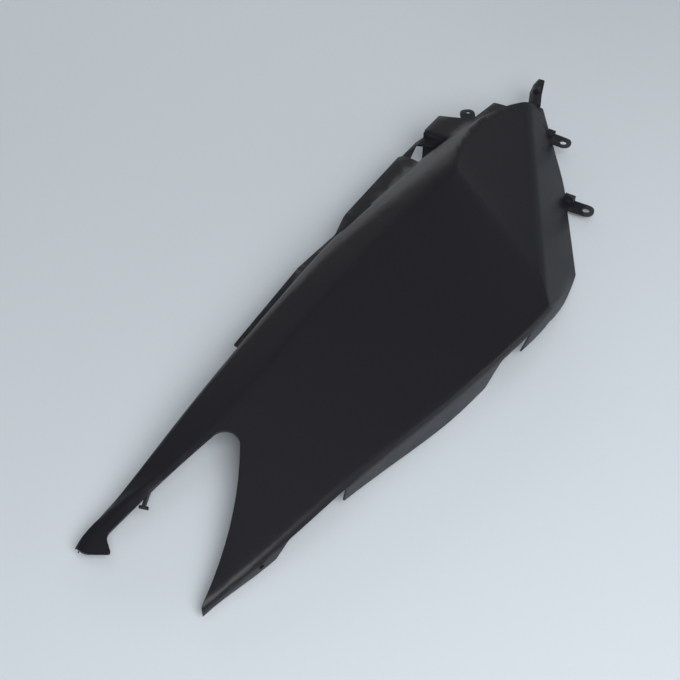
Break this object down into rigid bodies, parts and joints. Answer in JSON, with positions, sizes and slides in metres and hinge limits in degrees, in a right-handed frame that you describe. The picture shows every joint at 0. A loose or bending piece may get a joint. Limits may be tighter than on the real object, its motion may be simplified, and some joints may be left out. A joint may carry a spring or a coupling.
{
  "type": "scooter rear fairing panel",
  "caption": "Left rear side fairing of a scooter: a thin, softly crowned panel with a forked front, a folded rear face, screw tabs, a hook and a seat-side ledge.",
  "frame": {"origin": "under the middle of the panel, on the plane it lies on with its outer face up", "axes": "+X from the forked front to the rear corner, +Y towards the seat edge, +Z outwards from the scooter"},
  "size_m": [0.8686, 0.2759, 0.0872],
  "materials": {
    "panel": "matte black"
  },
  "bodies": {
    "root": {"fairing_panel": "panel"}
  },
  "joints": []
}
